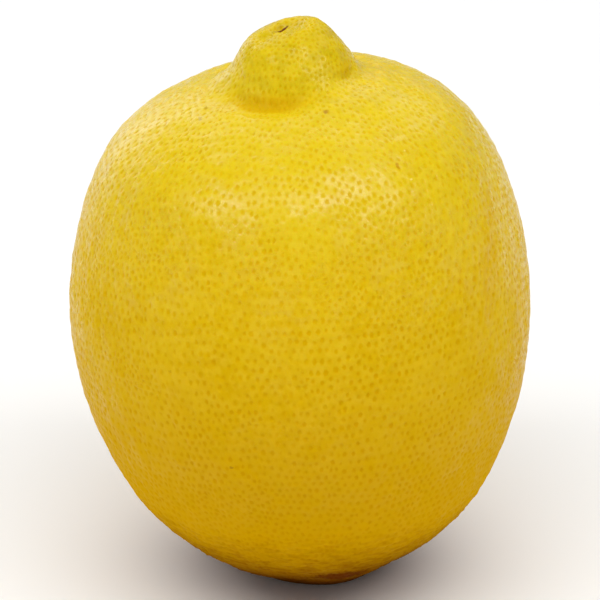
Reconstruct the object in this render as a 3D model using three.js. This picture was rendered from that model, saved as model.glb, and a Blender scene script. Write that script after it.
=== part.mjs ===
// A lemon that stands on its stem end with its nipple up: the fruit, grown in one piece, and the woody
// button left on its stem end where it was cut from the twig. Millimetres, +Z up. The origin is on the
// surface that it stands on, under the middle of the fruit. -Y is the front.
import * as THREE from "three";
import { ConvexHull } from "three/addons/math/ConvexHull.js";
import { mergeVertices } from "three/addons/utils/BufferGeometryUtils.js";

// Driving dimensions, in millimetres
const HEIGHT = 78; // from the surface up to the rim of the nipple's tip
const DIAMETER = 62; // across the girth
const BUTTON_DIAMETER = 5.8;

// How the fruit leans: its nipple to the left, its stem end to the right
const LEAN = THREE.MathUtils.degToRad(3.5);
const LEAN_HEIGHT = 36; // the height of the point about which it leans
const BOW = -0.95; // how far its middle bows to the left between its two ends
const LOW_BOW = 0.6; // how much more of the bow lies below that height than above it, as a share
const SET_OVER = 0.98; // puts the middle of the leaning fruit over the origin

// The outline from the middle of the tip to the middle of the stem end. The nipple's stations are a radius
// and a drop from the tip's rim, the body's are shares of the girth's radius and of the height, and the stem
// end's are a radius and a height. The ring round the stem end's hollow dips below the surface, which trims
// it to the flat spot that the fruit stands on.
const NIPPLE = [
  [0, 1.5],
  [1.3, 1.1],
  [2.9, 0.5],
  [4.8, 1.3],
  [6.4, 2.8],
  [7.5, 4.6],
  [8.4, 6.4],
  [9.4, 7.8],
  [10.9, 8.5],
];
const BODY = [
  [0.4, 0.889],
  [0.48, 0.877],
  [0.585, 0.857],
  [0.7, 0.828],
  [0.803, 0.788],
  [0.876, 0.737],
  [0.939, 0.667],
  [0.985, 0.577],
  [0.998, 0.462],
  [0.961, 0.346],
  [0.879, 0.244],
  [0.781, 0.167],
  [0.647, 0.1026],
  [0.485, 0.0513],
];
const STEM_END = [
  [11.1, 1.55],
  [8.4, -0.2],
  [6.6, -0.7],
  [4.9, -0.7],
  [4.0, -0.3],
  [3.65, 0.5],
  [3.45, 1.4],
  [2.4, 2.05],
  [0, 2.05],
];
const OUTLINE_STEPS = 900; // short straight steps along the outline

// The oil glands: pits that cover the peel, larger than life, closer together at the fruit's two ends
const GLANDS = 1560;
const PIT_DEPTH = 0.3;
const PITS = [0.3, 3]; // the pits fade in between these heights, so that the flat spot is flat
const NIPPLE_CROWDING = { more: 1.6, from: 0.84 * HEIGHT, to: 0.91 * HEIGHT };
const STEM_END_CROWDING = { more: 2.6, from: 5, to: 1 };
const SCATTER = 0.3; // how far a gland strays each way from its regular place, as a share of the spacing
const SEED = 20;

// The nipple stands a little to the right of the fruit's own middle, and its tip slants up to the right
const NIPPLE_ASIDE = 0.25;
const TIP_SLANT = { at: 20, rise: 0.15 };
const TIP = [HEIGHT - 2.4, HEIGHT - 0.4]; // the slant grows between these heights

// Round the nipple: degrees round from +X, how many degrees wide, and how much lower than the outline it lies
const FOOT_FOLDS = [
  { at: -108, wide: 38, down: 0.5 },
  { at: -55, wide: 24, down: -0.75 },
  { at: -20, wide: 22, down: 0.35 },
  { at: 62, wide: 34, down: 0.3 },
  { at: 150, wide: 30, down: -0.15 },
];
const FOOT = { radius: 10.2, height: HEIGHT - 8.2 };
const FOOT_SPREAD = { radius: 3.2, height: 2.6 }; // how far a fold reaches from the foot
const SHOULDER_RISE = { at: 0, wide: 75, down: -0.8 };
const SHOULDER = [0.77 * HEIGHT, 0.86 * HEIGHT]; // the shoulder's rise grows between these heights
const SHOULDER_END = [0.91 * HEIGHT, 0.96 * HEIGHT]; // and fades out between these

// Low swellings and hollows of the body: degrees round from +X, the height, how many degrees wide and how
// many millimetres tall each is, and how far out it stands
const SWELLINGS = [
  { at: -175, up: 20, wide: 55, tall: 13, out: -0.4 },
  { at: -165, up: 56, wide: 40, tall: 9, out: -0.35 },
  { at: -38, up: 46, wide: 11, tall: 17, out: 0.3 },
  { at: -14, up: 60, wide: 25, tall: 9, out: -0.3 },
  { at: -100, up: 40, wide: 30, tall: 25, out: 0.25 },
  { at: 20, up: 22, wide: 30, tall: 14, out: 0.2 },
  { at: 75, up: 44, wide: 26, tall: 22, out: 0.35 },
  { at: 118, up: 30, wide: 22, tall: 20, out: -0.3 },
];
const SWELLING_CORE = 8; // nearer to the axis than this, a swelling shrinks with the radius

// Shallow furrows that run in to the stem end
const FURROWS = { round: 8, deep: 0.3, up: 3.5, tall: 3.5 };

// The button in the stem end's hollow, from the end of its stub, over its rim, to the middle of its upper
// face: shares of its radius, and heights
const BUTTON = [
  [0, 0.3],
  [0.3, 0.25],
  [0.38, 0.35],
  [0.42, 0.75],
  [0.52, 0.9],
  [0.85, 0.9],
  [1, 1.1],
  [0.9, 1.4],
  [0.6, 1.65],
  [0, 1.7],
];
const BUTTON_SEGMENTS = 30;
const LOBES = { round: 5, deep: 0.11, between: [0.5, 0.9] };

const GOLDEN_ANGLE = Math.PI * (3 - Math.sqrt(5));

function smoothstep(low, high, value) {
  return THREE.MathUtils.smoothstep((value - low) / (high - low), 0, 1);
}

function bell(distance, width) {
  return Math.exp(-((distance / width) ** 2));
}

function seededRandom(seed) {
  let state = seed;
  return () => {
    state = (state + 0x6d2b79f5) | 0;
    let mixed = Math.imul(state ^ (state >>> 15), 1 | state);
    mixed = (mixed + Math.imul(mixed ^ (mixed >>> 7), 61 | mixed)) ^ mixed;
    return ((mixed ^ (mixed >>> 14)) >>> 0) / 2 ** 32;
  };
}

// How many times as many glands to an area there are at a height, against the middle of the body
function crowding(height) {
  return [NIPPLE_CROWDING, STEM_END_CROWDING].reduce((sum, { more, from, to }) => {
    return sum + more * smoothstep(from, to, height);
  }, 1);
}

// The outline as short steps. Each has its radius and height, the area of the peel before it, counted larger
// where the glands crowd, and its latitude on a ball on which every small patch of the peel keeps its shape,
// as on a conformal map.
function measuredOutline() {
  const stations = [
    ...NIPPLE.map(([radius, drop]) => [radius, HEIGHT - drop]),
    ...BODY.map(([out, up]) => [(out * DIAMETER) / 2, up * HEIGHT]),
    ...STEM_END,
  ];
  const curve = new THREE.SplineCurve(stations.map((station) => new THREE.Vector2(...station)));
  const steps = curve.getPoints(OUTLINE_STEPS);
  let area = 0;
  let stretch = 0;
  const outline = steps.map((step, i) => {
    if (i > 0) {
      const length = step.distanceTo(steps[i - 1]);
      const radius = (step.x + steps[i - 1].x) / 2;
      area += 2 * Math.PI * radius * length * crowding(step.y);
      stretch += i > 1 && i < OUTLINE_STEPS ? length / radius : 0;
    }
    return { radius: step.x, height: step.y, area, stretch };
  });
  const middle = outline.find((step) => step.area > area / 2).stretch;
  for (const step of outline) {
    step.latitude = Math.PI / 2 - 2 * Math.atan(Math.exp(step.stretch - middle));
  }
  outline[0].latitude = Math.PI / 2;
  outline[OUTLINE_STEPS].latitude = -Math.PI / 2;
  return outline;
}

// The outline at the place where a measure that grows or falls along it reaches a value
function outlineAt(outline, measure, value) {
  const falls = outline[0][measure] > outline[OUTLINE_STEPS][measure];
  let low = 0;
  let high = OUTLINE_STEPS;
  while (high - low > 1) {
    const middle = (low + high) >> 1;
    if (outline[middle][measure] < value !== falls) low = middle;
    else high = middle;
  }
  const [before, after] = [outline[low], outline[high]];
  const part = (value - before[measure]) / (after[measure] - before[measure]);
  const share = THREE.MathUtils.clamp(part, 0, 1);
  const between = (name) => THREE.MathUtils.lerp(before[name], after[name], share);
  return { radius: between("radius"), height: between("height"), latitude: between("latitude") };
}

// The glands' places on the ball: spread evenly over the peel by the golden angle, each then strayed a little
function glandPlaces(outline) {
  const random = seededRandom(SEED);
  const stray = () => SCATTER * (2 * random() - 1);
  const area = outline[OUTLINE_STEPS].area;
  return Array.from({ length: GLANDS }, (_, i) => {
    const before = (area * i) / (GLANDS - 1);
    const { radius, height } = outlineAt(outline, "area", before);
    const spacing = Math.sqrt(area / GLANDS / crowding(height));
    const ring = 2 * Math.PI * radius * crowding(height);
    const { latitude } = outlineAt(outline, "area", before + stray() * spacing * ring);
    const longitude = i * GOLDEN_ANGLE + (stray() * spacing) / Math.max(radius, spacing);
    return new THREE.Vector3(
      Math.cos(latitude) * Math.cos(longitude),
      Math.cos(latitude) * Math.sin(longitude),
      Math.sin(latitude),
    );
  });
}

// How many degrees a longitude lies round from an angle
function turnFrom(angle, longitude) {
  return THREE.MathUtils.euclideanModulo(THREE.MathUtils.radToDeg(longitude) - angle + 180, 360) - 180;
}

// How far below the outline a place round the nipple lies
function foldedDown(radius, height, longitude) {
  const around = ({ at, wide, down }) => down * bell(turnFrom(at, longitude), wide);
  const near = bell(radius - FOOT.radius, FOOT_SPREAD.radius);
  const foot = near * bell(height - FOOT.height, FOOT_SPREAD.height);
  const shoulder = smoothstep(...SHOULDER, height) * (1 - smoothstep(...SHOULDER_END, height));
  const folds = FOOT_FOLDS.reduce((sum, fold) => sum + around(fold), 0);
  return foot * folds + shoulder * around(SHOULDER_RISE);
}

// How far out of the outline a place on the body lies
function swollenOut(radius, height, longitude) {
  const near = bell(height - FURROWS.up, FURROWS.tall);
  const furrow = FURROWS.deep * near * Math.sin(FURROWS.round * longitude + Math.sin(2 * longitude));
  const out = SWELLINGS.reduce((sum, swelling) => {
    const around = bell(turnFrom(swelling.at, longitude), swelling.wide);
    return sum + swelling.out * around * bell(height - swelling.up, swelling.tall);
  }, furrow);
  return out * Math.min(1, radius / SWELLING_CORE);
}

// A place on the ball taken to the peel: the outline, its folds and swellings, the bow and the nipple's slant
function onPeel(outline, place) {
  const longitude = Math.atan2(place.y, place.x);
  const at = outlineAt(outline, "latitude", Math.asin(THREE.MathUtils.clamp(place.z, -1, 1)));
  const radius = at.radius + swollenOut(at.radius, at.height, longitude);
  const along = (at.height - LEAN_HEIGHT) / LEAN_HEIGHT;
  const bow = BOW * (1 - along * along) * (1 - LOW_BOW * along);
  const aside = NIPPLE_ASIDE * smoothstep(FOOT.height - 1, FOOT.height + 3, at.height);
  const uphill = radius * Math.cos(longitude - THREE.MathUtils.degToRad(TIP_SLANT.at));
  const slant = uphill * TIP_SLANT.rise * smoothstep(...TIP, at.height);
  return new THREE.Vector3(
    radius * Math.cos(longitude) + bow + aside,
    radius * Math.sin(longitude),
    at.height - foldedDown(at.radius, at.height, longitude) + slant,
  );
}

// Leans a place and sets it over the origin
function leaned(place) {
  const up = place.z - LEAN_HEIGHT;
  return new THREE.Vector3(
    place.x * Math.cos(LEAN) - up * Math.sin(LEAN) + SET_OVER,
    place.y,
    LEAN_HEIGHT + up * Math.cos(LEAN) + place.x * Math.sin(LEAN),
  );
}

// The peel: each gland is the bottom of a pit. The triangles that join neighbouring glands are split at their
// middles and their edges are flipped, so that crests run between the pits from middle to middle.
function fruitGeometry() {
  const outline = measuredOutline();
  const glands = glandPlaces(outline);
  const number = new Map(glands.map((gland, i) => [gland, i]));
  const { faces } = new ConvexHull().setFromPoints(glands);
  const middles = faces.map((face) => face.midpoint.clone().normalize());
  const middle = new Map(faces.map((face, i) => [face, glands.length + i]));
  const triangles = [];
  for (const face of faces) {
    for (const edge of [face.edge, face.edge.next, face.edge.prev]) {
      triangles.push(number.get(edge.tail().point), middle.get(edge.twin.face), middle.get(face));
    }
  }
  const places = [...glands, ...middles].map((place) => onPeel(outline, place));
  const peel = new THREE.BufferGeometry().setFromPoints(places).setIndex(triangles);
  peel.computeVertexNormals();
  const points = places.map((place, i) => {
    const depth = i < glands.length ? PIT_DEPTH * smoothstep(...PITS, place.z) : 0;
    const outward = new THREE.Vector3().fromBufferAttribute(peel.getAttribute("normal"), i);
    const point = leaned(place.clone().addScaledVector(outward, -depth));
    return point.setZ(Math.max(point.z, 0));
  });
  return new THREE.BufferGeometry().setFromPoints(points).setIndex(triangles);
}

// The button: a calyx with five blunt lobes, and on it the short stub of the stalk
function buttonGeometry() {
  const profile = BUTTON.map(([out, height]) => new THREE.Vector2((out * BUTTON_DIAMETER) / 2, height));
  const turned = new THREE.LatheGeometry(profile, BUTTON_SEGMENTS).rotateX(Math.PI / 2);
  turned.deleteAttribute("normal");
  turned.deleteAttribute("uv");
  const geometry = mergeVertices(turned);
  const points = geometry.getAttribute("position");
  for (let i = 0; i < points.count; i++) {
    const point = new THREE.Vector3().fromBufferAttribute(points, i);
    const out = Math.hypot(point.x, point.y) / (BUTTON_DIAMETER / 2);
    const notch = 1 - Math.cos(LOBES.round * Math.atan2(point.y, point.x));
    const inward = 1 - LOBES.deep * notch * smoothstep(...LOBES.between, out);
    points.setXYZ(i, ...leaned(point.multiply(new THREE.Vector3(inward, inward, 1))));
  }
  return geometry;
}

function piece(name, geometry, color, roughness) {
  const mesh = new THREE.Mesh(geometry, new THREE.MeshStandardMaterial({ color, roughness, metalness: 0 }));
  mesh.name = name;
  return mesh;
}

const lemon = new THREE.Group();
lemon.add(piece("fruit", fruitGeometry(), 0xe0b81f, 0.42));
lemon.add(piece("stem_button", buttonGeometry(), 0x6f5a35, 0.85));

export default lemon;
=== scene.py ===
"""A lemon that stands on its stem end with its nipple up, on a pale floor in soft light.

The fruit is one ball of oil glands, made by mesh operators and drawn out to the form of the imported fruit.
The button on its stem end is turned from a profile. The fruit's form is worked out in millimetres and
degrees, and a mesh is written in metres. -Y is the front, and the origin is on the floor under the middle
of the fruit.
"""

import logging
import math
from dataclasses import dataclass
from enum import Enum
from typing import Any, Union

import bmesh
import bpy
import numpy as np
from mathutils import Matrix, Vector


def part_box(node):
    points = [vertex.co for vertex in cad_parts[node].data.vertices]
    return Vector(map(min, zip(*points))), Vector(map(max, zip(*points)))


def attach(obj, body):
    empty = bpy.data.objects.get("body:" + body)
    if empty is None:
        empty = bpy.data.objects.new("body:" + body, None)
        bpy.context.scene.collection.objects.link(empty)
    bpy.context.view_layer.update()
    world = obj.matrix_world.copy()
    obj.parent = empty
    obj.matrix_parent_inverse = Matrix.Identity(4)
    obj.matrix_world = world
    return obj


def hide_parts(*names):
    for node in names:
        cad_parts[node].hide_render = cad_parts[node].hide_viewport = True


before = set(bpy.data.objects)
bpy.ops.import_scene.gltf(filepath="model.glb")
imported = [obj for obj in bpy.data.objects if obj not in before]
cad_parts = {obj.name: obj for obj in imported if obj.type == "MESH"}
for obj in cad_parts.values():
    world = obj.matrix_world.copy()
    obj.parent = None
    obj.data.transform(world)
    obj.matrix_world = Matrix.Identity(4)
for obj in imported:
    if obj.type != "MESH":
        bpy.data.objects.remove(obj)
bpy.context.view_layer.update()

MM = 0.001  # metres in a millimetre
BODY = "root"

log = logging.getLogger("lemon")

Numbers = np.ndarray
Colour = tuple[float, float, float]
Stations = tuple[tuple[float, float], ...]
Socket = bpy.types.NodeSocket
Value = Union[Socket, float]
Paint = Union[Socket, tuple[float, float, float, float]]


def smoothstep(low: float, high: float, value: Numbers) -> Numbers:
    """Rises smoothly from 0 to 1.

    Args:
        low: Where it leaves 0.
        high: Where it reaches 1.
        value: The places to read it at.

    Returns:
        The step at each place.
    """
    share = np.clip((value - low) / (high - low), 0, 1)
    return share * share * (3 - 2 * share)


def bell(distance: Numbers, width: float) -> Numbers:
    """A bell curve: 1 in the middle, and nearly 0 at twice its width."""
    return np.exp(-((distance / width) ** 2))


def turn_from(angle: float, longitude: Numbers) -> Numbers:
    """How many degrees a longitude, in radians, lies round from an angle in degrees."""
    return (np.degrees(longitude) - angle + 180) % 360 - 180


def linear(colour: Colour) -> tuple[float, float, float, float]:
    """Turns a colour of 0 to 255, as seen on a screen, into the linear colour that a shader takes.

    Args:
        colour: Red, green and blue.

    Returns:
        Linear red, green and blue, and an alpha of 1.
    """
    shares = [channel / 255 for channel in colour]
    return (*(s / 12.92 if s <= 0.04045 else ((s + 0.055) / 1.055) ** 2.4 for s in shares), 1.0)


def read(items: Any, name: str, width: int) -> Numbers:
    """Reads a property of all vertices.

    Args:
        items: The vertices, normals or attribute values.
        name: The property.
        width: How many numbers each has.

    Returns:
        One row for each item.
    """
    flat = np.empty(len(items) * width, dtype=np.float32)
    items.foreach_get(name, flat)
    return flat.reshape(-1, width).astype(float)


def write(items: Any, name: str, values: Numbers) -> None:
    """Writes a property of all vertices."""
    items.foreach_set(name, values.astype(np.float32).ravel())


@dataclass(frozen=True)
class Fold:
    """A fold round the nipple.

    Attributes:
        at: Degrees round from +X.
        wide: Degrees wide.
        down: How far below the outline it lies.
        along: How far along the outline its middle is from the middle of the tip.
        reach: How far it reaches along the outline, up and down.
    """

    at: float
    wide: float
    down: float
    along: float = 14
    reach: float = 3

    def around(self, longitude: Numbers) -> Numbers:
        """How far down the fold takes the peel at each longitude."""
        return self.down * bell(turn_from(self.at, longitude), self.wide)

    def over(self, along: Numbers, longitude: Numbers) -> Numbers:
        """How far down the fold takes the peel at each place."""
        return self.around(longitude) * bell(along - self.along, self.reach)


@dataclass(frozen=True)
class Swelling:
    """A low swelling or hollow of the body.

    Attributes:
        at: Degrees round from +X.
        up: Its height.
        wide: Degrees wide.
        tall: How tall it is.
        out: How far out it stands.
    """

    at: float
    up: float
    wide: float
    tall: float
    out: float

    def over(self, height: Numbers, longitude: Numbers) -> Numbers:
        """How far out the swelling takes the peel at each place."""
        return self.out * bell(turn_from(self.at, longitude), self.wide) * bell(height - self.up, self.tall)


@dataclass(frozen=True)
class Band:
    """A band of the fruit between two heights.

    Attributes:
        low: Its lower edge.
        high: Its upper edge.
        fade: How far past each edge it fades out.
    """

    low: float
    high: float
    fade: float

    def share(self, height: Numbers) -> Numbers:
        """How much of the band is felt at each height, from 0 to 1."""
        rising = smoothstep(self.low - self.fade, self.low, height)
        return rising * (1 - smoothstep(self.high, self.high + self.fade, height))


@dataclass(frozen=True)
class Pebbles:
    """Low waves that run every way over the peel.

    Attributes:
        length: From crest to crest.
        rise: How high they stand at most places.
        count: How many waves are laid over each other.
        seed: Of their directions.
    """

    length: float
    rise: float
    count: int = 28
    seed: int = 1

    def over(self, points: Numbers) -> Numbers:
        """How far out the waves take the peel.

        Args:
            points: The points to read them at.

        Returns:
            The distance at each point.
        """
        random = np.random.default_rng(self.seed)
        ways = random.normal(size=(self.count, 3))
        ways /= np.linalg.norm(ways, axis=1)[:, None]
        turns = 2 * math.pi * random.uniform(0.75, 1.3, self.count) / self.length
        starts = random.uniform(0, 2 * math.pi, self.count)
        waves = np.sin(points @ (ways * turns[:, None]).T + starts)
        return self.rise * waves.sum(axis=1) / math.sqrt(self.count / 2)


@dataclass(frozen=True)
class Wrinkles:
    """Fine wrinkles that run one way, round the fruit or along it.

    Attributes:
        along: From crest to crest along the outline.
        round: How many crests there are round the fruit, at most.
        rise: How high they stand at most places.
        band: Where they are.
        least_round: How many crests there are round the fruit, at least.
        count: How many waves are laid over each other.
        seed: Of their lengths.
    """

    along: float
    round: int
    rise: float
    band: Band
    least_round: int = 0
    count: int = 20
    seed: int = 1

    def over(self, along: Numbers, height: Numbers, longitude: Numbers) -> Numbers:
        """How far out the wrinkles take the peel.

        Args:
            along: How far along the outline each place is.
            height: Of the outline there.
            longitude: In radians from +X.

        Returns:
            The distance at each place.
        """
        random = np.random.default_rng(self.seed)
        total = np.zeros_like(along)
        for _ in range(self.count):
            turns = 2 * math.pi * random.uniform(0.6, 1.4) / self.along
            crests = random.integers(self.least_round, self.round + 1) * random.choice((-1, 1))
            total += np.sin(turns * along + crests * longitude + random.uniform(0, 2 * math.pi))
        return self.rise * self.band.share(height) * total / math.sqrt(self.count / 2)


@dataclass
class Outline:
    """The fruit's outline, from the middle of the nipple's tip to the middle of the stem end.

    Attributes:
        height: Of the fruit, up to the rim of the nipple's tip.
        girth: The diameter round its middle.
        nipple: Stations as a radius and a drop from the tip's rim.
        body: Stations as shares of the girth's radius and of the height.
        stem_end: Stations as a radius and a height. The ring round the hollow dips below the floor.
        steps: How many short straight steps the outline is measured in.
        nipple_crowding: How many more glands there are to an area, and the heights between which that grows.
        stem_end_crowding: The same at the stem end.
    """

    height: float
    girth: float
    nipple: Stations = (
        (0, 0.9),
        (1.3, 0.75),
        (2.9, 0.5),
        (4.8, 1.3),
        (6.4, 2.8),
        (7.5, 4.6),
        (8.4, 6.4),
        (9.4, 7.8),
        (10.9, 8.5),
    )
    body: Stations = (
        (0.4, 0.889),
        (0.48, 0.877),
        (0.585, 0.857),
        (0.7, 0.828),
        (0.803, 0.788),
        (0.876, 0.737),
        (0.939, 0.667),
        (0.985, 0.577),
        (0.998, 0.462),
        (0.961, 0.346),
        (0.879, 0.244),
        (0.781, 0.167),
        (0.647, 0.1026),
        (0.485, 0.0513),
    )
    stem_end: Stations = (
        (11.1, 1.55),
        (8.4, -0.2),
        (6.6, -0.7),
        (4.9, -0.7),
        (4.0, -0.3),
        (3.65, 0.5),
        (3.45, 1.4),
        (2.4, 2.05),
        (0, 2.05),
    )
    steps: int = 900
    nipple_crowding: tuple[float, float, float] = (0.6, 65, 70)
    stem_end_crowding: tuple[float, float, float] = (1.5, 5, 1)

    def __post_init__(self) -> None:
        """Measures the outline."""
        points = self.curve()
        self.radius, self.level = points.T
        lengths = np.hypot(*np.diff(points, axis=0).T)
        middles = (points[1:] + points[:-1]) / 2
        rings = 2 * math.pi * middles[:, 0] * lengths
        glands = np.cumsum(rings * self.crowding(middles[:, 1]))
        self.along = np.concatenate([[0], np.cumsum(lengths)])
        self.share = np.concatenate([[0], glands / glands[-1]])

    def curve(self) -> Numbers:
        """Draws one smooth curve through the outline's stations.

        Returns:
            Points on the curve, each a radius and a height.
        """
        stations = np.array(
            [(radius, self.height - drop) for radius, drop in self.nipple]
            + [(out * self.girth / 2, up * self.height) for out, up in self.body]
            + list(self.stem_end)
        )
        along = np.linspace(0, len(stations) - 1, self.steps + 1)
        first = np.minimum(along.astype(int), len(stations) - 2)
        ends = np.vstack([stations[:1], stations, stations[-1:]])
        before, here, there, after = (ends[first + i] for i in range(4))
        t = (along - first)[:, None]
        leave, arrive = (there - before) / 2, (after - here) / 2
        cubic = 2 * (here - there) + leave + arrive
        square = 3 * (there - here) - 2 * leave - arrive
        return ((cubic * t + square) * t + leave) * t + here

    def crowding(self, height: Numbers) -> Numbers:
        """How many times as many glands to an area there are as at the middle of the body.

        Args:
            height: The heights to read it at.

        Returns:
            The number at each height.
        """
        total = np.ones_like(height)
        for more, low, high in (self.nipple_crowding, self.stem_end_crowding):
            total += more * smoothstep(low, high, height)
        return total


@dataclass
class Places:
    """Places on the peel.

    Attributes:
        radius: Of the outline at each place.
        height: Of the outline.
        along: How far along the outline each is from the tip.
        longitude: In radians from +X.
        points: The places before the fruit leans.
    """

    radius: Numbers
    height: Numbers
    along: Numbers
    longitude: Numbers
    points: Numbers


@dataclass
class Form:
    """The fruit's form: its outline turned round, then folded, swollen, bowed and leaned.

    Attributes:
        outline: The measured outline.
        lean: Degrees that it leans by, its nipple to the left.
        lean_height: The height about which it leans.
        bow: How far its middle bows to the left between its ends.
        low_bow: How much more of the bow is below that height than above it.
        set_over: Puts its middle over the origin.
        nipple_aside: How far to the right of the fruit's own middle the nipple stands.
        tip_slant: Degrees round that the tip slants up to, its slope, and the heights between which it grows.
        foot_drop: How far below the tip's rim the nipple's foot is.
        foot_folds: The folds round the foot.
        shoulder_rise: How much higher the shoulder is on the right.
        shoulder: Shares of the height between which the rise grows.
        shoulder_end: Shares of the height between which it fades out.
        swellings: Of the body.
        swelling_core: Nearer to the axis than this, a swelling shrinks with the radius.
        furrows: How many run in to the stem end, how deep, how high up and how tall.
    """

    outline: Outline
    lean: float = 3.5
    lean_height: float = 36
    bow: float = -0.95
    low_bow: float = 0.6
    set_over: float = 0.98
    nipple_aside: float = 0.25
    tip_slant: tuple[float, float, float, float] = (20, 0.15, 75.6, 77.6)
    foot_drop: float = 8.2
    foot_folds: tuple[Fold, ...] = (
        Fold(-112, 36, 0.35, 13.2, 2.4),
        Fold(-62, 22, -0.75),
        Fold(-28, 20, 0.65, 11.1, 1.6),
        Fold(-25, 24, -0.4, 15.5, 2.2),
        Fold(62, 34, 0.3),
        Fold(178, 34, -0.8, 13.0, 1.9),
    )
    shoulder_rise: Fold = Fold(0, 75, -0.8)
    shoulder: tuple[float, float] = (0.77, 0.86)
    shoulder_end: tuple[float, float] = (0.91, 0.96)
    swellings: tuple[Swelling, ...] = (
        Swelling(-175, 20, 55, 13, -0.4),
        Swelling(-165, 56, 40, 9, -0.35),
        Swelling(-38, 46, 11, 17, 0.3),
        Swelling(-14, 60, 25, 9, -0.3),
        Swelling(-100, 40, 30, 25, 0.25),
        Swelling(20, 22, 30, 14, 0.2),
        Swelling(75, 44, 26, 22, 0.35),
        Swelling(118, 30, 22, 20, -0.3),
    )
    swelling_core: float = 8
    furrows: tuple[int, float, float, float] = (8, 0.3, 3.5, 3.5)

    def folded_down(self, along: Numbers, height: Numbers, longitude: Numbers) -> Numbers:
        """How far below the outline the folds and the shoulder take the peel.

        Args:
            along: How far along the outline each place is from the tip.
            height: Of the outline there.
            longitude: In radians from +X.

        Returns:
            The drop at each place.
        """
        folds = sum(fold.over(along, longitude) for fold in self.foot_folds)
        begin, full = (share * self.outline.height for share in self.shoulder)
        fall, end = (share * self.outline.height for share in self.shoulder_end)
        shoulder = smoothstep(begin, full, height) * (1 - smoothstep(fall, end, height))
        return folds + shoulder * self.shoulder_rise.around(longitude)

    def swollen_out(self, radius: Numbers, height: Numbers, longitude: Numbers) -> Numbers:
        """How far out of the outline the swellings and furrows take the peel.

        Args:
            radius: Of the outline at each place.
            height: Of the outline there.
            longitude: In radians from +X.

        Returns:
            The distance at each place.
        """
        count, deep, up, tall = self.furrows
        out = deep * bell(height - up, tall) * np.sin(count * longitude + np.sin(2 * longitude))
        out += sum(swelling.over(height, longitude) for swelling in self.swellings)
        return out * np.minimum(1, radius / self.swelling_core)

    def draw(self, share: Numbers, longitude: Numbers) -> Places:
        """Takes places to the peel of the upright fruit.

        Args:
            share: The share of the fruit's glands that lie above each place.
            longitude: In radians from +X.

        Returns:
            The places on the peel.
        """
        measured = self.outline
        radius, height, along = (
            np.interp(share, measured.share, line)
            for line in (measured.radius, measured.level, measured.along)
        )
        out = radius + self.swollen_out(radius, height, longitude)
        rise = (height - self.lean_height) / self.lean_height
        bow = self.bow * (1 - rise * rise) * (1 - self.low_bow * rise)
        foot_height = measured.height - self.foot_drop
        aside = self.nipple_aside * smoothstep(foot_height - 1, foot_height + 3, height)
        uphill, slope, low, high = self.tip_slant
        slant = slope * out * np.cos(longitude - math.radians(uphill)) * smoothstep(low, high, height)
        points = np.stack(
            [
                out * np.cos(longitude) + bow + aside,
                out * np.sin(longitude),
                height - self.folded_down(along, height, longitude) + slant,
            ],
            axis=1,
        )
        return Places(radius, height, along, longitude, points)

    def leaned(self, points: Numbers) -> Numbers:
        """Leans points of the upright fruit and sets them over the origin.

        Args:
            points: Of the upright fruit.

        Returns:
            The points of the leaning fruit.
        """
        angle = math.radians(self.lean)
        x, y, up = points[:, 0], points[:, 1], points[:, 2] - self.lean_height
        return np.stack(
            [
                x * math.cos(angle) - up * math.sin(angle) + self.set_over,
                y,
                self.lean_height + up * math.cos(angle) + x * math.sin(angle),
            ],
            axis=1,
        )

    def spot(self, at: float, along: float) -> Vector:
        """A spot on the peel, in metres.

        Args:
            at: Degrees round from +X.
            along: How far along the outline it is from the middle of the tip.

        Returns:
            The spot on the leaning fruit.
        """
        share = np.interp(along, self.outline.along, self.outline.share)
        drawn = self.draw(np.array([share]), np.array([math.radians(at)]))
        return Vector(self.leaned(drawn.points)[0]) * MM


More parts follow.
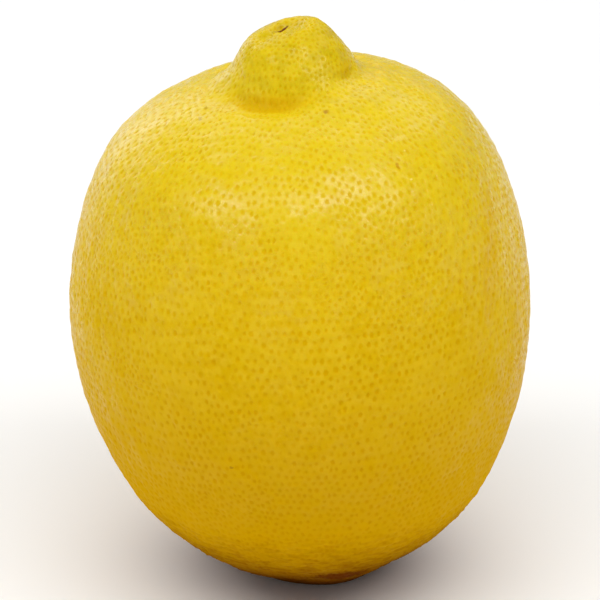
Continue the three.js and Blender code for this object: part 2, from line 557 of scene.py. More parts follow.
class Graph:
    """The node tree of one material, with a short call for each kind of node that the finishes use."""

    def __init__(self, name: str) -> None:
        """Starts an empty tree for a new material.

        Args:
            name: Of the material.
        """
        self.material = bpy.data.materials.new(name)
        self.material.use_nodes = True
        self.tree = self.material.node_tree
        self.tree.nodes.clear()

    def add(self, kind: str, inputs: dict[Any, Any], **settings: Any) -> bpy.types.Node:
        """Adds a node.

        Args:
            kind: The node's type.
            inputs: By the socket's name or number, a value or the output to link to it.
            settings: The node's own properties.

        Returns:
            The new node.
        """
        node = self.tree.nodes.new(kind)
        for name, value in settings.items():
            setattr(node, name, value)
        for name, value in inputs.items():
            if isinstance(value, Socket):
                self.tree.links.new(value, node.inputs[name])
            else:
                node.inputs[name].default_value = value
        return node

    def place(self) -> Socket:
        """The place on the object, in metres."""
        return self.add("ShaderNodeTexCoord", {}).outputs["Object"]

    def attribute(self, name: str) -> Socket:
        """A number kept on the mesh."""
        return self.add("ShaderNodeAttribute", {}, attribute_name=name).outputs["Fac"]

    def noise(self, size: float, detail: float, where: Union[Socket, None] = None, **inputs: float) -> Socket:
        """Smooth noise between 0 and 1.

        Args:
            size: Of its largest patches, in metres.
            detail: How many finer levels it has.
            where: The place that it is read at, or None for the place on the object.
            inputs: Other inputs of the noise, by name.

        Returns:
            The noise.
        """
        place = self.place() if where is None else where
        sockets = {"Vector": place, "Scale": 1 / size, "Detail": detail, **inputs}
        return self.add("ShaderNodeTexNoise", sockets).outputs["Fac"]

    def ramp(self, value: Value, low: float, high: float, start: float = 0, end: float = 1) -> Socket:
        """A smooth ramp.

        Args:
            value: What is read.
            low: The value where the ramp starts.
            high: The value where it ends.
            start: What it gives at low.
            end: What it gives at high.

        Returns:
            The ramp's output.
        """
        sockets = {"Value": value, "From Min": low, "From Max": high, "To Min": start, "To Max": end}
        return self.add("ShaderNodeMapRange", sockets, interpolation_type="SMOOTHSTEP").outputs["Result"]

    def maths(self, operation: str, first: Value, second: Value) -> Socket:
        """Works out one number from two."""
        return self.add("ShaderNodeMath", {0: first, 1: second}, operation=operation).outputs[0]

    def mix(self, share: Value, first: Paint, second: Paint, blend: str = "MIX") -> Socket:
        """Mixes two colours.

        Args:
            share: How much of the second there is.
            first: A colour or an output.
            second: A colour or an output.
            blend: How the second is laid over the first.

        Returns:
            The mixed colour.
        """
        inputs = {0: share, 6: first, 7: second}
        node = self.add("ShaderNodeMix", inputs, data_type="RGBA", blend_type=blend)
        return node.outputs[2]

    def finish(self, **inputs: Any) -> bpy.types.Material:
        """Closes the tree with its shader.

        Args:
            inputs: The shader's inputs, with an underscore for each space in a name.

        Returns:
            The material.
        """
        sockets = {name.replace("_", " "): value for name, value in inputs.items()}
        shader = self.add("ShaderNodeBsdfPrincipled", sockets)
        self.add("ShaderNodeOutputMaterial", {"Surface": shader.outputs["BSDF"]})
        return self.material


@dataclass(frozen=True)
class Change:
    """A smooth change over the fruit's height.

    Attributes:
        begin: The height where it begins.
        end: The height where it ends.
        before: What it gives at its beginning.
        after: What it gives at its end.
    """

    begin: float
    end: float
    before: float = 0
    after: float = 1

    def over(self, graph: Graph, height: Value) -> Socket:
        """What the change gives at each height."""
        return graph.ramp(height, self.begin * MM, self.end * MM, self.before, self.after)


@dataclass(frozen=True)
class Patches:
    """Soft patches, read from smooth noise.

    Attributes:
        size: Of the noise's largest patches.
        detail: How many finer levels it has.
        low: The noise where a patch begins.
        high: The noise where it is full.
        least: What the patches give where there are none.
        most: What they give in the middle of a patch.
    """

    size: float
    detail: float
    low: float
    high: float
    least: float = 0
    most: float = 1

    def over(self, graph: Graph, where: Union[Socket, None] = None) -> Socket:
        """What the patches give at each place."""
        noise = graph.noise(self.size * MM, self.detail, where)
        return graph.ramp(noise, self.low, self.high, self.least, self.most)


class Tint(Enum):
    """The colour of a mark."""

    SLIT = (104, 38, 8)
    SCAR = (182, 136, 36)
    FAINT_SCAR = (180, 140, 40)
    DARK_SPECK = (104, 62, 8)
    BROWN_SPECK = (176, 124, 20)
    DULL_SPECK = (160, 120, 20)
    STREAK = (196, 142, 10)
    # Painted highlight: a small bright glint.
    PAINTED_GLINT = (247, 229, 120)
    # Painted shade: a darker band beside the ridge on the right side.
    SHADE_BAND = (213, 160, 0)
    # A dark brown patch low on the front, by the stem end.
    DARK_LOW_PATCH = (100, 44, 6)


@dataclass(frozen=True)
class Mark:
    """A mark on the peel, with a ragged edge; a few marks are painted highlights and painted shade.

    Attributes:
        tint: Of its middle.
        at: Degrees round from +X.
        along: How far along the outline it is from the middle of the tip.
        size: Its length, its width and its height.
        strength: How much it covers in its middle.
        ragged: How ragged its edge is.
        turn: Degrees that its length is turned from +X.
        edge: The shares of its half size between which it fades out.
    """

    tint: Tint
    at: float
    along: float
    size: tuple[float, float, float]
    strength: float
    ragged: float = 0.5
    turn: float = 0
    edge: tuple[float, float] = (0.5, 1.2)

    def over(self, graph: Graph, colour: Socket, spot: Vector) -> Socket:
        """Puts the mark on the peel.

        Args:
            graph: The tree.
            colour: The peel's colour without it.
            spot: Where it is.

        Returns:
            The colour with the mark.
        """
        turn = (0, 0, math.radians(self.turn))
        half = [length * MM / 2 for length in self.size]
        sockets = {"Vector": graph.place(), "Location": spot, "Rotation": turn, "Scale": half}
        place = graph.add("ShaderNodeMapping", sockets, vector_type="TEXTURE").outputs["Vector"]
        away = graph.add("ShaderNodeVectorMath", {0: place}, operation="LENGTH").outputs["Value"]
        rag = Patches(0.5, 3, 0.3, 0.7, -self.ragged, self.ragged).over(graph)
        share = graph.ramp(graph.maths("ADD", away, rag), *self.edge, self.strength, 0)
        return graph.mix(share, colour, linear(self.tint.value))


@dataclass(frozen=True)
class PeelFinish:
    """A ripe, waxy peel: yellow with ochre gland dots, painted shade in its folds, browner low down partly as
    painted shade.

    Attributes:
        ripe: The peel's main yellow.
        pale: Its paler patches.
        deep: Its deeper patches.
        gland: How much of the peel's red, green and blue is left in the middle of a gland.
        fold: Painted shade at the bottom of a fold round the nipple.
        green: The upper peel.
        olive: The nipple's darker patches.
        low: The lower peel's deeper colour, partly its own and partly painted shade.
        foot: The peel near the floor: partly its own brown, partly painted shade.
        wrinkle_shade: How much of the peel's red, green and blue the painted shade in its wrinkles near the
            floor leaves.
        broad: Where it is paler.
        patches: Where it is deeper.
        speckles: Where it is paler in small spots.
        greening: How green it is.
        nipple: Where the nipple begins.
        tip: How olive the nipple's tip is.
        mottling: How olive the nipple's patches are.
        waver: The size of the waves in which the lower peel changes, and how high they are.
        deepening_and_shade: How deep the lower peel is, partly as painted shade.
        browning_and_shade: How brown it is near the floor, partly as painted shade.
        wrinkle_shading: Where painted shade darkens its wrinkles near the floor.
        wrinkles: The patches that the painted shade lays in wrinkles on the lower peel.
        wrinkle_squash: How many times as long as tall they are.
        fold_shade_share: How much of the painted shade of a fold there is at its bottom.
        blur: The size of the noise that blurs the glands' dots, and its strength.
        dot: The strengths of a gland between which its dot grows.
        clumps: How strong the dots are, in clumps.
        low_dots: How strong they are lower down.
        fold_dots: A fold's depths between which they fade, and how strong they are left.
        wax: How rough the wax is.
        roughening: How much rougher it is lower down.
        dot_roughness: How much rougher it is in a gland.
        pits: A gland's strengths over which the light shades its pit, and how strongly and how deep that is.
        grain: The size of the wax's grain, and how strongly and how deep the light shades it.
        shine: How strongly the wax shines.
        low_shine: How much of that is left lower down.
        nipple_shine: How much of it is left on the nipple.
        net: How much of it is left in a fine net.
        wide_net: How much of it is left in a wider one.
        dull_dot: How much of it a gland takes away.
        dull_fold: A fold's depths over which it takes the shine away, and how much is left.
        index: How strongly the wax bends light.
        inside: How much of the light comes from inside, how far it goes there, and each colour's share.
    """

    ripe: Colour = (223, 186, 8)
    pale: Colour = (233, 202, 44)
    deep: Colour = (216, 174, 2)
    gland: Colour = (0.935, 0.83, 0.05)
    # Painted shade at the bottom of the folds round the nipple's foot.
    fold: Colour = (210, 160, 0)
    green: Colour = (223, 199, 24)
    olive: Colour = (205, 178, 12)
    # Partly the peel's own deeper tone, partly painted shade.
    low: Colour = (215, 165, 0)
    # Partly the stem end's own brown, partly painted shade.
    foot: Colour = (118, 66, 2)
    # Painted shade in the wrinkles near the floor.
    wrinkle_shade: Colour = (0.8, 0.7, 0.4)
    broad: Patches = Patches(14, 2, 0.4, 0.7, 0, 0.5)
    patches: Patches = Patches(5, 3, 0.45, 0.75, 0, 0.5)
    speckles: Patches = Patches(1.2, 3, 0.4, 0.65, 0, 0.55)
    greening: Change = Change(50, 70, 0, 0.6)
    nipple: Change = Change(68, 71)
    tip: Change = Change(72, 77, 0, 0.45)
    mottling: Patches = Patches(1.8, 3, 0.42, 0.65, 0, 0.55)
    waver: tuple[float, float] = (6, 4)
    deepening_and_shade: Change = Change(64, 14)
    browning_and_shade: Change = Change(18.5, 3.5)
    wrinkle_shading: Change = Change(18, 8)
    wrinkles: Patches = Patches(1.9, 3, 0.45, 0.62)
    wrinkle_squash: float = 3
    fold_shade_share: float = 0.65
    blur: tuple[float, float] = (0.8, 0.4)
    dot: tuple[float, float] = (-0.3, 0.35)
    clumps: Patches = Patches(4, 2, 0.35, 0.65, 0.55, 1)
    low_dots: Change = Change(8, 36, 0.55, 1)
    fold_dots: tuple[float, float, float] = (0.1, 0.8, 0.35)
    wax: Patches = Patches(3, 3, 0.3, 0.7, 0.21, 0.31)
    roughening: Change = Change(36, 12, 0, 0.35)
    dot_roughness: float = 0.15
    pits: tuple[float, float, float] = (0.8, 0.6, 0.06)
    grain: tuple[float, float, float] = (0.7, 0.65, 0.1)
    shine: Change = Change(42, 60, 0.07, 0.6)
    low_shine: Change = Change(10, 34, 0.15, 1)
    nipple_shine: Change = Change(67, 71, 1, 0.6)
    net: Patches = Patches(2, 2, 0.38, 0.6, 0.35, 1)
    wide_net: Patches = Patches(6, 2, 0.4, 0.58, 0.5, 1.15)
    dull_dot: float = 0.8
    dull_fold: tuple[float, float] = (0.7, 0.2)
    index: float = 1.46
    inside: tuple[float, float, Colour] = (0.2, 1.5, (1.0, 0.55, 0.08))

    def material(self, form: Form, marks: tuple[Mark, ...]) -> bpy.types.Material:
        """Makes the material.

        Args:
            form: The fruit's form, which carries the marks.
            marks: The marks.

        Returns:
            The material.
        """
        graph = Graph("waxy_peel")
        height = graph.add("ShaderNodeSeparateXYZ", {0: graph.place()}).outputs["Z"]
        gland, fold = graph.attribute("gland"), graph.attribute("fold")
        size, strength = self.blur
        blurred = graph.maths("SUBTRACT", gland, graph.maths("MULTIPLY", graph.noise(size * MM, 2), strength))
        dot = graph.ramp(blurred, *self.dot)
        colour = self.ends(graph, height, self.ground(graph))
        # Painted shade in the folds round the nipple's foot.
        colour = graph.mix(graph.ramp(fold, 0, 1, 0, self.fold_shade_share), colour, linear(self.fold))
        colour = self.dotted(graph, height, fold, dot, colour)
        for mark in marks:
            colour = mark.over(graph, colour, form.spot(mark.at, mark.along))
        rough = graph.maths("ADD", self.wax.over(graph), graph.maths("MULTIPLY", dot, self.dot_roughness))
        weight, reach, shares = self.inside
        return graph.finish(
            Base_Color=colour,
            Roughness=graph.maths("ADD", rough, self.roughening.over(graph, height)),
            IOR=self.index,
            Specular_IOR_Level=self.gloss(graph, height, fold, dot),
            Normal=self.relief(graph, gland),
            Subsurface_Weight=weight,
            Subsurface_Radius=shares,
            Subsurface_Scale=reach * MM,
        )

    def dotted(self, graph: Graph, height: Socket, fold: Socket, dot: Socket, colour: Socket) -> Socket:
        """Lays the glands' dots over the peel.

        Args:
            graph: The tree.
            height: The height on the object.
            fold: The depth of a fold round the nipple.
            dot: How much of a gland there is.
            colour: The peel's colour without them.

        Returns:
            The colour with them.
        """
        low, high, left = self.fold_dots
        strength = graph.maths("MULTIPLY", self.clumps.over(graph), self.low_dots.over(graph, height))
        strength = graph.maths("MULTIPLY", strength, graph.ramp(fold, low, high, 1, left))
        return graph.mix(graph.maths("MULTIPLY", dot, strength), colour, (*self.gland, 1), "MULTIPLY")

    def relief(self, graph: Graph, gland: Socket) -> Socket:
        """How the light shades the glands' pits and the wax's grain.

        Args:
            graph: The tree.
            gland: The strength of a gland.

        Returns:
            The direction that the peel faces.
        """
        full, strength, deep = self.pits
        pits = {"Strength": strength, "Distance": deep * MM, "Height": graph.ramp(gland, 0, full, 1, 0)}
        pitted = graph.add("ShaderNodeBump", pits).outputs["Normal"]
        size, strength, deep = self.grain
        grain = graph.noise(size * MM, 3, Roughness=0.6)
        sockets = {"Strength": strength, "Distance": deep * MM, "Height": grain, "Normal": pitted}
        return graph.add("ShaderNodeBump", sockets).outputs["Normal"]

    def gloss(self, graph: Graph, height: Socket, fold: Socket, dot: Socket) -> Socket:
        """How strongly the wax shines: less low down, on the nipple, in its folds and in the glands.

        Args:
            graph: The tree.
            height: The height on the object.
            fold: The depth of a fold round the nipple.
            dot: How much of a gland there is.

        Returns:
            The strength of the shine.
        """
        deep, left = self.dull_fold
        shine = self.shine.over(graph, height)
        for share in (
            self.low_shine.over(graph, height),
            self.nipple_shine.over(graph, height),
            graph.ramp(fold, 0, deep, 1, left),
            self.net.over(graph),
            self.wide_net.over(graph),
            graph.maths("SUBTRACT", 1, graph.maths("MULTIPLY", dot, self.dull_dot)),
        ):
            shine = graph.maths("MULTIPLY", shine, share)
        return shine

    def ground(self, graph: Graph) -> Socket:
        """The yellow of the peel between its glands, in paler and deeper patches.

        Args:
            graph: The tree.

        Returns:
            The colour.
        """
        colour = graph.mix(self.broad.over(graph), linear(self.ripe), linear(self.pale))
        colour = graph.mix(self.patches.over(graph), colour, linear(self.deep))
        return graph.mix(self.speckles.over(graph), colour, linear(self.pale))

    def ends(self, graph: Graph, height: Socket, colour: Socket) -> Socket:
        """Turns the nipple greener, and the stem end deeper and browner, partly as painted shade, with
        painted shade in its wrinkles.

        Args:
            graph: The tree.
            height: The height on the object.
            colour: The peel's colour without them.

        Returns:
            The colour with them.
        """
        colour = graph.mix(self.greening.over(graph, height), colour, linear(self.green))
        olive = graph.maths("ADD", self.mottling.over(graph), self.tip.over(graph, height))
        olive = graph.maths("MULTIPLY", olive, self.nipple.over(graph, height))
        colour = graph.mix(olive, colour, linear(self.olive))
        size, high = self.waver
        wavering = graph.maths("ADD", height, graph.maths("MULTIPLY", graph.noise(size * MM, 2), high * MM))
        # Deeper towards the bottom: partly the peel's own tone, partly painted shade.
        colour = graph.mix(self.deepening_and_shade.over(graph, wavering), colour, linear(self.low))
        # Browner near the floor: partly the stem end's own brown, partly painted shade.
        colour = graph.mix(self.browning_and_shade.over(graph, wavering), colour, linear(self.foot))
        # Painted shade in the wrinkles near the floor.
        level = {"Vector": graph.place(), "Scale": (1, 1, self.wrinkle_squash)}
        squashed = graph.add("ShaderNodeMapping", level).outputs["Vector"]
        shaded_wrinkles = self.wrinkles.over(graph, squashed)
        shaded_wrinkles = graph.maths("MULTIPLY", shaded_wrinkles, self.wrinkle_shading.over(graph, height))
        return graph.mix(shaded_wrinkles, colour, (*self.wrinkle_shade, 1), "MULTIPLY")


@dataclass(frozen=True)
class Groove:
    """A soft groove across the nipple's tip.

    Attributes:
        x: Its middle, to the right of the tip's middle.
        y: Its middle, behind the tip's middle.
        turn: Degrees that it is turned from +X.
        deep: How deep it is.
        wide: How wide.
        long: How long.
    """

    x: float
    y: float
    turn: float
    deep: float
    wide: float
    long: float

    def depth(self, places: Places) -> Numbers:
        """How deep the groove is.

        Args:
            places: On the upright fruit.

        Returns:
            The depth at each place.
        """
        x = places.radius * np.cos(places.longitude) - self.x
        y = places.radius * np.sin(places.longitude) - self.y
        angle = math.radians(self.turn)
        along = x * math.cos(angle) + y * math.sin(angle)
        across = y * math.cos(angle) - x * math.sin(angle)
        upper = places.height > places.height.max() / 2
        return self.deep * bell(across, self.wide) * bell(along, self.long) * upper


@dataclass
class Peel:
    """The fruit's outside: a ball of oil glands drawn out to the fruit's form.

    Attributes:
        form: The fruit's form.
        finish: Its finish.
        cuts: How often each edge of the ball is cut, which sets how many glands there are.
        drift: Slow waves on the ball that bend the rows of glands, as shares of their spacing.
        scatter: How far a gland strays each way from its regular place, as a share of the spacing.
        rim: A gland's widest radius as a percentage of the way to the next.
        radius: The least and the greatest radius of a gland, as a share of the spacing.
        pit: How deep a gland's pit is.
        strength: The weakest and the strongest gland.
        set_in: How far inside the form the peel lies at most places.
        pits_from: Heights between which the relief fades in above the floor.
        tip_cap: The ball's height above which the mesh is finer, for the slit.
        pebbles: Low waves that run every way.
        wrinkles: Fine wrinkles that run one way.
        creases: Sharp creases at the nipple's foot.
        ochre: Where painted shade darkens the folds at the nipple's foot.
        grooves: A soft fold across the tip, and the slit in it where the flower's style broke off.
        marks: Of the peel; a few of them are painted highlights and painted shade.
        seed: Of the glands' straying.
    """

    form: Form
    finish: PeelFinish
    cuts: int = 8
    drift: Pebbles = Pebbles(11, 0.28, seed=7)
    scatter: float = 0.34
    rim: float = 47
    radius: tuple[float, float] = (0.36, 0.5)
    pit: float = 0.13
    strength: tuple[float, float] = (0.45, 1.0)
    set_in: float = 0.19
    pits_from: tuple[float, float] = (0.3, 3.0)
    tip_cap: float = 0.994
    pebbles: tuple[Pebbles, ...] = (
        Pebbles(1.7, 0.025, seed=2),
        Pebbles(4, 0.02, seed=3),
        Pebbles(9, 0.015, seed=8),
    )
    wrinkles: tuple[Wrinkles, ...] = (
        Wrinkles(1.5, 9, 0.05, Band(2, 13, 5), seed=4),
        Wrinkles(2.0, 34, 0.024, Band(66, 69.5, 2), least_round=12, seed=5),
        Wrinkles(12, 70, 0.025, Band(20, 56, 10), least_round=40, seed=6),
    )
    creases: tuple[Fold, ...] = (Fold(-108, 32, 0.24, 13.4, 0.6), Fold(-28, 18, 0.2, 11.4, 0.6))
    # Painted shade in the folds at the nipple's foot.
    ochre: tuple[Fold, ...] = (
        Fold(-108, 30, 1, 12.9, 1.2),
        Fold(-108, 30, 0.8, 13.8, 0.45),
        Fold(-28, 15, 0.6, 10.6, 1.2),
    )
    grooves: tuple[Groove, ...] = (
        Groove(-1.8, -0.3, 34, 0.65, 1.0, 3.2),
        Groove(-1.2, 1.0, 32, 0.4, 0.35, 1.0),
    )
    marks: tuple[Mark, ...] = (
        Mark(Tint.SLIT, 138, 1.6, (2.3, 0.42, 4.0), 1.0, 0.2, 32),
        Mark(Tint.SCAR, -69.5, 16.6, (1.1, 0.9, 0.9), 0.9, 0.2),
        Mark(Tint.FAINT_SCAR, -86, 16.3, (0.7, 0.5, 0.5), 0.5),
        Mark(Tint.DARK_SPECK, -17, 34.2, (0.5, 0.5, 0.45), 0.95, 0.2),
        Mark(Tint.DULL_SPECK, -150.5, 16.7, (0.8, 0.8, 0.6), 0.5),
        Mark(Tint.DULL_SPECK, -145, 18.6, (0.8, 0.8, 0.6), 0.5),
        Mark(Tint.BROWN_SPECK, -122, 52.7, (0.6, 0.6, 0.5), 0.7),
        Mark(Tint.BROWN_SPECK, -108, 65.5, (0.6, 0.6, 0.5), 0.7),
        Mark(Tint.STREAK, -53, 27.5, (0.7, 0.6, 1.2), 0.8),
        # Painted highlights: five small bright glints.
        Mark(Tint.PAINTED_GLINT, -51, 29.8, (0.5, 0.4, 0.35), 0.8),
        Mark(Tint.PAINTED_GLINT, -47, 26.2, (0.5, 0.4, 0.35), 0.8),
        Mark(Tint.PAINTED_GLINT, -56, 31.6, (0.5, 0.4, 0.35), 0.7),
        Mark(Tint.PAINTED_GLINT, -50, 24.5, (0.4, 0.4, 0.3), 0.7),
        Mark(Tint.PAINTED_GLINT, -45, 28.8, (0.4, 0.4, 0.3), 0.7),
        # Painted shade: a darker band down the right side, beside its ridge.
        Mark(Tint.SHADE_BAND, -33, 43.5, (2.4, 18, 22), 0.3, 0.4),
        # A dark brown patch low on the front, by the stem end.
        Mark(Tint.DARK_LOW_PATCH, -80, 93.0, (8.6, 6, 4.8), 0.9, 0.2, 15),
    )
    seed: int = 20

    def ball(self) -> bmesh.types.BMesh:
        """Makes the ball of glands: each has a rim of six corners and a middle.

        Returns:
            The ball, with each gland's strength on its middle.
        """
        random = np.random.default_rng(self.seed)
        ball = bmesh.new()
        strength = ball.verts.layers.float.new("gland")
        bmesh.ops.create_icosphere(ball, subdivisions=3, radius=1)
        bmesh.ops.subdivide_edges(ball, edges=ball.edges[:], cuts=self.cuts, use_grid_fill=True)
        spacing = math.sqrt(4 * math.pi / len(ball.verts))
        corners = np.array([corner.co.normalized() for corner in ball.verts])
        drifts = [self.drift.over(np.roll(corners, way, axis=1) / spacing) for way in range(3)]
        strays = random.uniform(-1, 1, corners.shape) * self.scatter + np.stack(drifts, axis=1)
        for corner, stray in zip(ball.verts, strays):
            corner.co = (corner.co.normalized() + Vector(stray) * spacing).normalized()
        bmesh.ops.beautify_fill(ball, faces=ball.faces[:], edges=ball.edges[:], method="ANGLE")
        rims = bmesh.ops.bevel(
            ball,
            geom=ball.verts[:],
            affect="VERTICES",
            offset=self.rim,
            offset_type="PERCENT",
            segments=1,
            profile=0.5,
            material=-1,
        )
        for middle in bmesh.ops.poke(ball, faces=rims["faces"])["verts"]:
            middle[strength] = random.uniform(*self.strength)
            radius = random.uniform(*self.radius) * spacing
            for edge in middle.link_edges:
                corner = edge.other_vert(middle)
                spoke = corner.co - middle.co
                corner.co = middle.co + spoke * min(1, radius / spoke.length)
        self.triangulate(ball)
        cap = [edge for edge in ball.edges if all(v.co.z > self.tip_cap for v in edge.verts)]
        bmesh.ops.subdivide_edges(ball, edges=cap, cuts=1, use_grid_fill=True)
        self.triangulate(ball)
        return ball

    @staticmethod
    def triangulate(ball: bmesh.types.BMesh) -> None:
        """Splits the faces that aren't triangles."""
        faces = [face for face in ball.faces if len(face.verts) > 3]
        bmesh.ops.triangulate(ball, faces=faces, quad_method="BEAUTY", ngon_method="BEAUTY")

    def places(self, ball: Numbers) -> Places:
        """Takes points of the ball to the peel of the upright fruit."""
        turned = ball / np.linalg.norm(ball, axis=1)[:, None]
        return self.form.draw((1 - turned[:, 2]) / 2, np.arctan2(turned[:, 1], turned[:, 0]))

    def crease(self, places: Places) -> Numbers:
        """How deep the creases at the nipple's foot are at each place."""
        return sum(crease.over(places.along, places.longitude) for crease in self.creases)

    def depth(self, places: Places, glands: Numbers) -> Numbers:
        """How far inside the form each place on the peel lies.

        Args:
            places: On the upright fruit.
            glands: The strength of the gland at each, or 0.

        Returns:
            The depth at each place.
        """
        out = sum(waves.over(places.points) for waves in self.pebbles)
        out += sum(w.over(places.along, places.height, places.longitude) for w in self.wrinkles)
        depth = np.maximum(self.set_in - out, 0) + self.pit * glands
        depth += self.crease(places) + sum(groove.depth(places) for groove in self.grooves)
        return depth * smoothstep(*self.pits_from, places.height)

    def build(self) -> bpy.types.Object:
        """Builds and dresses the fruit.

        Returns:
            The fruit, which stands for its solid in the frame.
        """
        ball = self.ball()
        mesh = bpy.data.meshes.new("fruit_peel")
        ball.to_mesh(mesh)
        ball.free()
        places = self.places(read(mesh.vertices, "co", 3))
        write(mesh.vertices, "co", places.points)
        mesh.update()
        normals = read(mesh.vertex_normals, "vector", 3)
        glands = read(mesh.attributes["gland"].data, "value", 1)[:, 0]
        points = self.form.leaned(places.points - normals * self.depth(places, glands)[:, None])
        points[:, 2] = np.maximum(points[:, 2], 0)
        write(mesh.vertices, "co", points * MM)
        # Keeps the painted shade of the folds for the material.
        self.keep(mesh, "fold", sum(fold.over(places.along, places.longitude) for fold in self.ochre))
        mesh.shade_smooth()
        fruit = bpy.data.objects.new("lemon_fruit", mesh)
        mesh.materials.append(self.finish.material(self.form, self.marks))
        bpy.context.collection.objects.link(fruit)
        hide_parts("fruit")
        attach(fruit, BODY)
        return fruit

    @staticmethod
    def keep(mesh: bpy.types.Mesh, name: str, values: Numbers) -> None:
        """Keeps a number on each vertex, for the material."""
        attribute = mesh.attributes.new(name, "FLOAT", "POINT")
        attribute.data.foreach_set("value", values.astype(np.float32))


@dataclass(frozen=True)
class ButtonFinish:
    """Dry wood: brown, with darker fibres that run in to the stalk's cut end.

    Attributes:
        wood: Its main brown.
        light: Its lighter patches.
        dark: Its cracks.
        patches: Where it is lighter.
        wear: How rough it is.
        cracks: Their size, and how strongly and how deep the light shades them.
        crack: The noise where a crack is darkest and where it ends, and how much of its colour there is.
    """

    wood: Colour = (104, 84, 44)
    light: Colour = (134, 114, 62)
    dark: Colour = (56, 40, 20)
    patches: Patches = Patches(0.8, 4, 0.35, 0.7)
    wear: Patches = Patches(0.8, 4, 0.3, 0.7, 0.78, 0.92)
    cracks: tuple[float, float, float] = (0.25, 0.7, 0.08)
    crack: tuple[float, float, float] = (0.35, 0.5, 0.8)

    def material(self) -> bpy.types.Material:
        """Makes the material.

        Returns:
            The material.
        """
        graph = Graph("dry_wood")
        size, strength, deep = self.cracks
        cracks = graph.noise(size * MM, 3, Roughness=0.7)
        bottom, edge, most = self.crack
        colour = graph.mix(self.patches.over(graph), linear(self.wood), linear(self.light))
        colour = graph.mix(graph.ramp(cracks, bottom, edge, most, 0), colour, linear(self.dark))
        bump = graph.add("ShaderNodeBump", {"Strength": strength, "Distance": deep * MM, "Height": cracks})
        rough, facing = self.wear.over(graph), bump.outputs["Normal"]
        return graph.finish(Base_Color=colour, Roughness=rough, IOR=1.5, Normal=facing)


@dataclass
class StemButton:
    """The woody button in the stem end's hollow: a calyx with five blunt lobes and the stub of the stalk.

    Attributes:
        form: The fruit's form, which the button leans with.
        finish: Its finish.
        diameter: Of the calyx.
        profile: From the end of the stub, over the rim, to the middle of the upper face: shares of the
            radius, and heights.
        segments: How many steps it is turned in.
        lobes: How many there are, how deep the notches between them are, and the shares of the radius
            between which they deepen.
        fibres: How many run round the stub and the calyx, and how deep the grooves between them are.
    """

    form: Form
    finish: ButtonFinish
    diameter: float = 5.7
    profile: Stations = (
        (0, 0.42),
        (0.12, 0.36),
        (0.3, 0.29),
        (0.38, 0.38),
        (0.41, 0.58),
        (0.43, 0.78),
        (0.52, 0.93),
        (0.7, 0.96),
        (0.85, 0.93),
        (0.97, 1.06),
        (0.99, 1.14),
        (0.9, 1.36),
        (0.6, 1.62),
        (0, 1.66),
    )
    segments: int = 120
    lobes: tuple[int, float, float, float] = (5, 0.12, 0.5, 0.9)
    fibres: tuple[int, float] = (23, 0.03)

    def turned(self) -> bmesh.types.BMesh:
        """Turns the profile round the stalk's axis.

        Returns:
            The button, in millimetres.
        """
        button = bmesh.new()
        corners = [button.verts.new((out * self.diameter / 2, 0, up)) for out, up in self.profile]
        for one, next_one in zip(corners, corners[1:]):
            button.edges.new((one, next_one))
        bmesh.ops.spin(
            button,
            geom=button.verts[:] + button.edges[:],
            cent=(0, 0, 0),
            axis=(0, 0, 1),
            dvec=(0, 0, 0),
            angle=2 * math.pi,
            steps=self.segments,
            use_merge=True,
        )
        bmesh.ops.remove_doubles(button, verts=button.verts[:], dist=1e-5)
        bmesh.ops.recalc_face_normals(button, faces=button.faces[:])
        return button

    def build(self) -> bpy.types.Object:
        """Builds and dresses the button.

        Returns:
            The button, which stands for its solid in the frame.
        """
        button = self.turned()
        mesh = bpy.data.meshes.new("stem_button_wood")
        button.to_mesh(mesh)
        button.free()
        points = read(mesh.vertices, "co", 3)
        out = np.hypot(points[:, 0], points[:, 1]) / (self.diameter / 2)
        round_it = np.arctan2(points[:, 1], points[:, 0])
        count, deep, start, end = self.lobes
        notch = deep * (1 - np.cos(count * round_it)) * smoothstep(start, end, out)
        fibres, groove = self.fibres
        grooved = groove * (1 - np.cos(fibres * round_it + 2 * np.sin(3 * round_it))) / 2
        points[:, :2] *= (1 - notch - grooved * np.minimum(1, out / 0.3))[:, None]
        write(mesh.vertices, "co", self.form.leaned(points) * MM)
        mesh.shade_smooth()
        piece = bpy.data.objects.new("lemon_stem_button", mesh)
        mesh.materials.append(self.finish.material())
        bpy.context.collection.objects.link(piece)
        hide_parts("stem_button")
        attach(piece, BODY)
        return piece


class Panel(Enum):
    """The face of a soft light: its width and height, in metres."""

    BROAD = (1.6, 0.9)
    STRIP = (2.4, 0.45)
    UPRIGHT = (0.7, 0.8)


@dataclass(frozen=True)
class Softbox:
    """A soft light that looks at the fruit.

    Attributes:
        name: What it is for.
        place: Where it hangs, in metres.
        panel: Its face.
        power: In watts.
        aim: The point that it looks at.
    """

    name: str
    place: tuple[float, float, float]
    panel: Panel
    power: float
    aim: tuple[float, float, float] = (0, 0, 0.04)

    def hang(self) -> None:
        """Hangs the light."""
        light = bpy.data.lights.new(self.name, "AREA")
        light.shape = "RECTANGLE"
        light.size, light.size_y = self.panel.value
        light.energy = self.power
        lamp = bpy.data.objects.new(self.name, light)
        lamp.location = self.place
        lamp.rotation_euler = (Vector(self.aim) - Vector(self.place)).to_track_quat("-Z", "Y").to_euler()
        bpy.context.collection.objects.link(lamp)


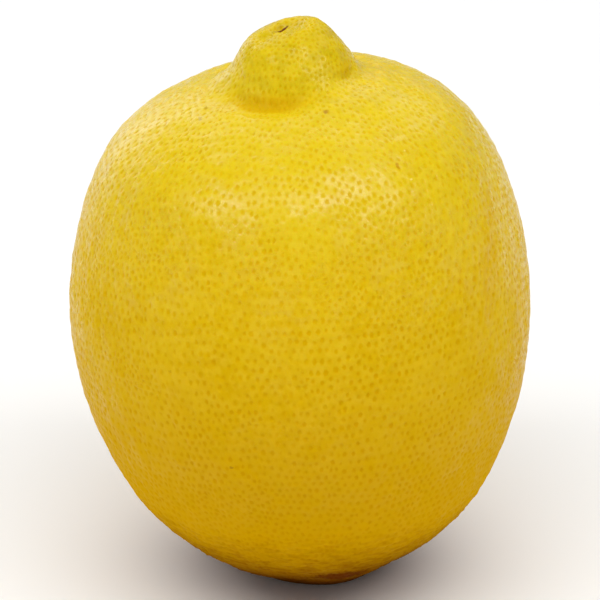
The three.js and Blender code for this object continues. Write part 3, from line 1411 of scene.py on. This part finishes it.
@dataclass
class Studio:
    """The pale floor, the light that comes from all round, and the soft lights.

    Attributes:
        floor_size: From the middle to each edge, in metres.
        floor_drop: How far below the fruit the floor lies, so that the two don't share a face.
        floor_colour: Of the floor.
        surround: How bright the white light from all round is.
        lights: The soft lights.
    """

    floor_size: float = 3.0
    floor_drop: float = 0.00005
    floor_colour: Colour = (246, 246, 245)
    surround: float = 0.35
    lights: tuple[Softbox, ...] = (
        Softbox("key_light", (0.0, -0.42, 1.0), Panel.STRIP, 13.1),
        Softbox("top_light", (0.0, 0.75, 0.8), Panel.BROAD, 4.5),
        Softbox("left_light", (-0.66, 0.95, 0.15), Panel.UPRIGHT, 2.3),
    )

    def floor(self) -> None:
        """Lays the floor."""
        plane = bmesh.new()
        bmesh.ops.create_grid(plane, x_segments=1, y_segments=1, size=self.floor_size)
        bmesh.ops.translate(plane, verts=plane.verts[:], vec=(0, 0, -self.floor_drop))
        mesh = bpy.data.meshes.new("pale_floor")
        plane.to_mesh(mesh)
        plane.free()
        graph = Graph("pale_floor")
        mesh.materials.append(graph.finish(Base_Color=linear(self.floor_colour), Roughness=0.7))
        floor = bpy.data.objects.new("pale_floor", mesh)
        bpy.context.collection.objects.link(floor)

    def light_up(self) -> None:
        """Hangs the lights and sets the light from all round."""
        world = bpy.data.worlds.new("white_surround")
        world.use_nodes = True
        background = world.node_tree.nodes["Background"]
        background.inputs["Color"].default_value = (1, 1, 1, 1)
        background.inputs["Strength"].default_value = self.surround
        bpy.context.scene.world = world
        for light in self.lights:
            light.hang()
        bpy.context.scene.view_settings.view_transform = "Standard"


@dataclass(frozen=True)
class Viewpoint:
    """Where the fruit is seen from: the front, looking down a little.

    Attributes:
        elevation: Degrees above the horizon.
        distance: From the target, in metres.
        target: The point at the middle of the picture.
        lens: In millimetres, on a sensor of the given width.
        sensor: The sensor's width in millimetres.
    """

    elevation: float = 24.0
    distance: float = 0.5
    target: tuple[float, float, float] = (0, 0, 0.03844)
    lens: float = 224.5
    sensor: float = 36.0

    def set_up(self) -> None:
        """Sets the camera up."""
        camera = bpy.data.cameras.new("front_view")
        camera.lens, camera.sensor_width = self.lens, self.sensor
        camera.clip_start = 0.01
        angle = math.radians(self.elevation)
        back = Vector((0, -math.cos(angle), math.sin(angle)))
        view = bpy.data.objects.new("front_view", camera)
        view.location = Vector(self.target) + back * self.distance
        view.rotation_euler = (-back).to_track_quat("-Z", "Y").to_euler()
        bpy.context.collection.objects.link(view)
        bpy.context.scene.camera = view


def fruit_form() -> Form:
    """Fits the fruit's form to its solid in the frame.

    Returns:
        The form, as tall and as wide as the solid.
    """
    low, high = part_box("fruit")
    size = (high - low) / MM
    return Form(Outline(height=size.z, girth=min(size.x, size.y)))


def main() -> None:
    """Builds the lemon, its studio and the view."""
    logging.basicConfig(level=logging.INFO, format="%(name)s: %(message)s")
    Viewpoint().set_up()
    form = fruit_form()
    for piece in (Peel(form, PeelFinish()).build(), StemButton(form, ButtonFinish()).build()):
        log.info("%s has %d faces", piece.name, len(piece.data.polygons))
    studio = Studio()
    studio.floor()
    studio.light_up()


if __name__ == "__main__":
    main()
